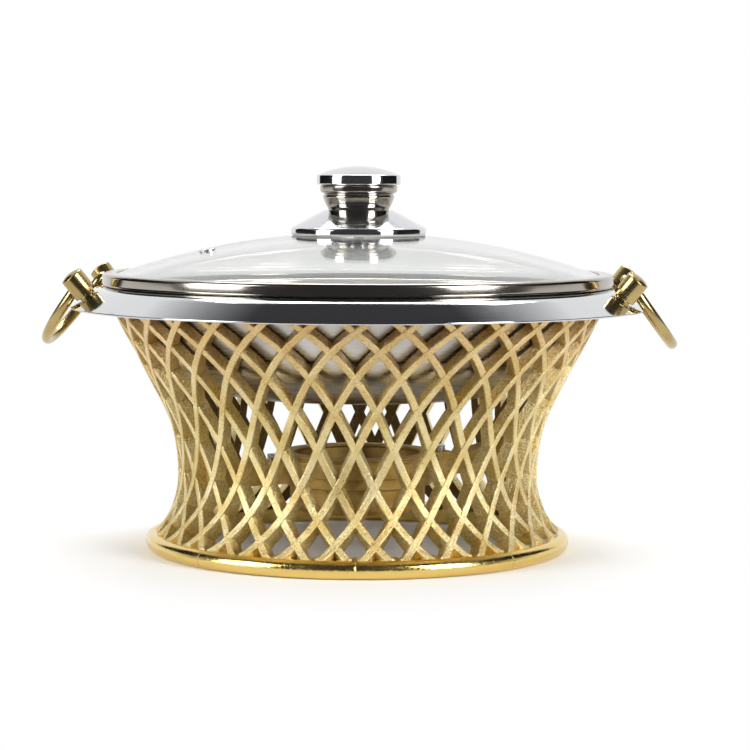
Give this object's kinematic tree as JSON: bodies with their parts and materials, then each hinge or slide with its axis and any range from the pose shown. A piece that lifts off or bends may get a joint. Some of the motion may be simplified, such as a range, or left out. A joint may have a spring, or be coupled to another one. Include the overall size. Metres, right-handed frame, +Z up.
{
  "type": "chafing dish",
  "caption": "Round tabletop food warmer: gold lattice hourglass stand with a spirit burner, flanged steel pot with bail handles, and a glass lid with a steel knob.",
  "frame": {"origin": "centre of the stand's base ring, on the table", "axes": "+X towards the right-hand bail, +Y away from the viewer, +Z up"},
  "size_m": [0.3316, 0.2986, 0.1994],
  "materials": {
    "cast_gold": "cast, pale gold plate",
    "polished_gold": "polished gold plate",
    "dull_gold": "satin gold plate",
    "antique_brass": "satin brass",
    "polished_steel": "mirror polished stainless steel",
    "plain_steel": "plain stainless steel",
    "clear_glass": "clear tempered glass",
    "seal": "silicone and fibre"
  },
  "bodies": {
    "stand": {"base_ring": "polished_gold", "top_ring": "dull_gold", "lattice_panel_1": "cast_gold", "lattice_panel_2": "cast_gold", "lattice_panel_3": "cast_gold", "lattice_panel_4": "cast_gold", "lattice_panel_5": "cast_gold", "lattice_panel_6": "cast_gold", "lattice_panel_7": "cast_gold", "lattice_panel_8": "cast_gold", "burner_arm_1": "dull_gold", "burner_arm_2": "dull_gold", "burner_ring": "dull_gold", "holder_screws": "plain_steel"},
    "burner": {"burner_cup": "dull_gold", "burner_collar": "dull_gold"},
    "pot": {"pot_bowl": "polished_steel", "post_right_front": "antique_brass", "post_right_rear": "antique_brass", "post_left_rear": "antique_brass", "post_left_front": "antique_brass", "post_screws": "plain_steel", "post_washers": "seal"},
    "right_bail": {"right_bail": "antique_brass"},
    "left_bail": {"left_bail": "antique_brass"},
    "lid": {"lid_glass": "clear_glass", "lid_band": "polished_steel", "vent_grommet": "plain_steel", "knob_gasket": "seal", "knob_base": "polished_steel", "knob_body": "polished_steel", "knob_cap": "polished_steel", "knob_screw": "plain_steel", "lid_washer": "seal"}
  },
  "joints": [
    {"name": "pot_lift", "type": "slide", "parent": "stand", "child": "pot", "axis": [0, 0, 1], "range_m": [0, 0.12]},
    {"name": "lid_lift", "type": "slide", "parent": "pot", "child": "lid", "axis": [0, 0, 1], "range_m": [0, 0.1]},
    {"name": "burner_lift", "type": "slide", "parent": "stand", "child": "burner", "axis": [0, 0, 1], "range_m": [0, 0.028]},
    {"name": "right_bail_swing", "type": "hinge", "parent": "pot", "child": "right_bail", "pos_m": [0.14034, 0, 0.1397], "axis": [0, -1, 0], "range_deg": [0, 140]},
    {"name": "left_bail_swing", "type": "hinge", "parent": "pot", "child": "left_bail", "pos_m": [-0.14034, 0, 0.1397], "axis": [0, 1, 0], "range_deg": [0, 140]}
  ]
}
